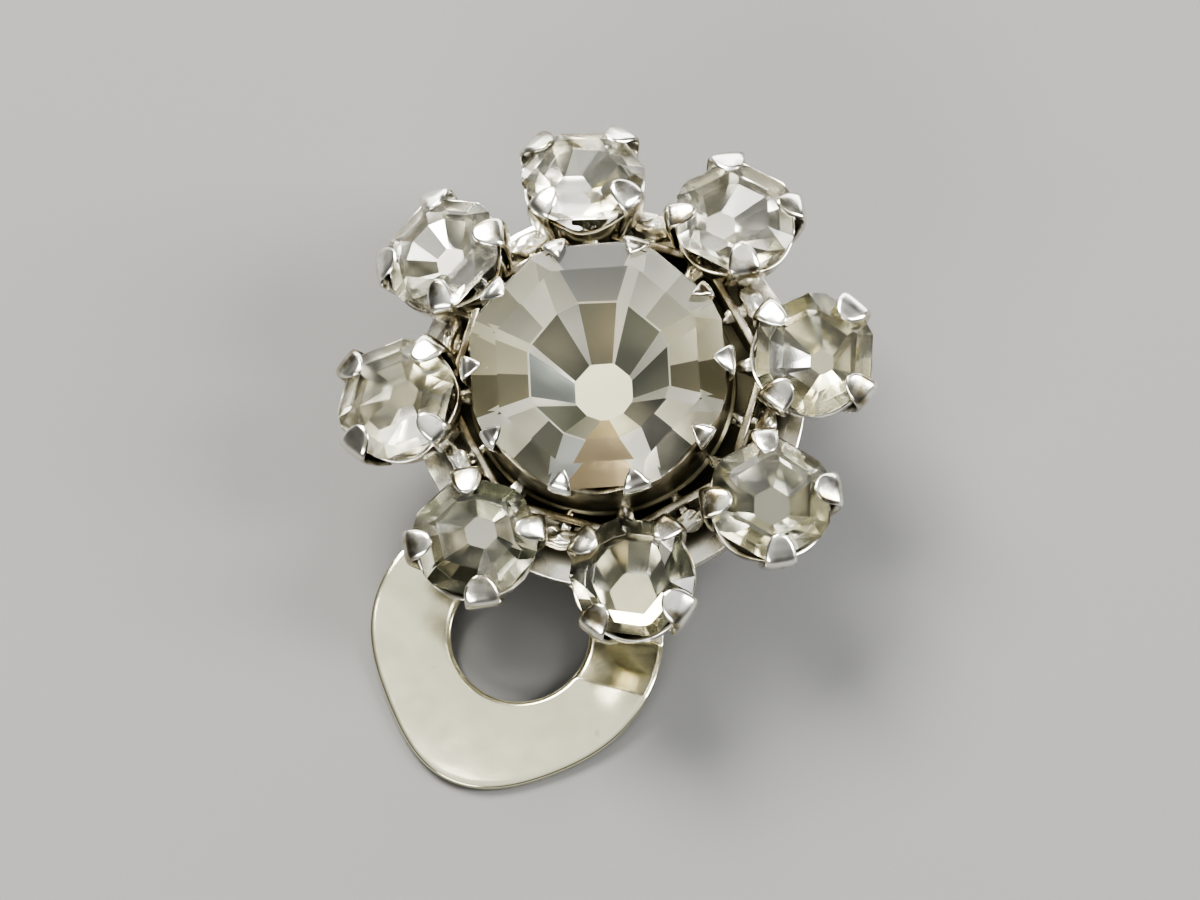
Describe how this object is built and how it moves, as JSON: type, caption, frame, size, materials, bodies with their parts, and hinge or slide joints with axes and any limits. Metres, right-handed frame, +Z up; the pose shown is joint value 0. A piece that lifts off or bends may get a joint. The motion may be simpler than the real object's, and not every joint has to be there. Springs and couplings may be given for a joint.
{
  "type": "clip-on earring",
  "caption": "Flower-shaped clip-on earring: prong-set glass stones round a larger centre stone, on a hinged sprung clip with a holed disc.",
  "frame": {"origin": "middle of the bounding box at the table surface", "axes": "+Z up from the table, +Y from the clip's disc towards the hinge, +X across the clip"},
  "size_m": [0.0204, 0.0254, 0.0111],
  "materials": {
    "plated_metal": "silver-toned plating, polished, slightly tarnished in the corners",
    "spring_metal": "satin sprung sheet",
    "foiled_glass": "polished clear glass with a silvered back"
  },
  "bodies": {
    "clip": {"paddle": "spring_metal"},
    "flower": {"flower_frame": "plated_metal", "clip_bracket": "plated_metal", "rivet": "plated_metal", "hinge_pin": "plated_metal", "center_stone": "foiled_glass", "petal_stone_1": "foiled_glass", "petal_stone_2": "foiled_glass", "petal_stone_3": "foiled_glass", "petal_stone_4": "foiled_glass", "petal_stone_5": "foiled_glass", "petal_stone_6": "foiled_glass", "petal_stone_7": "foiled_glass", "petal_stone_8": "foiled_glass"}
  },
  "joints": [
    {"name": "clip_hinge", "type": "hinge", "parent": "clip", "child": "flower", "pos_m": [-0.00005, 0.00533, 0.0016], "axis": [-1, 0, 0], "range_deg": [0, 80]}
  ]
}
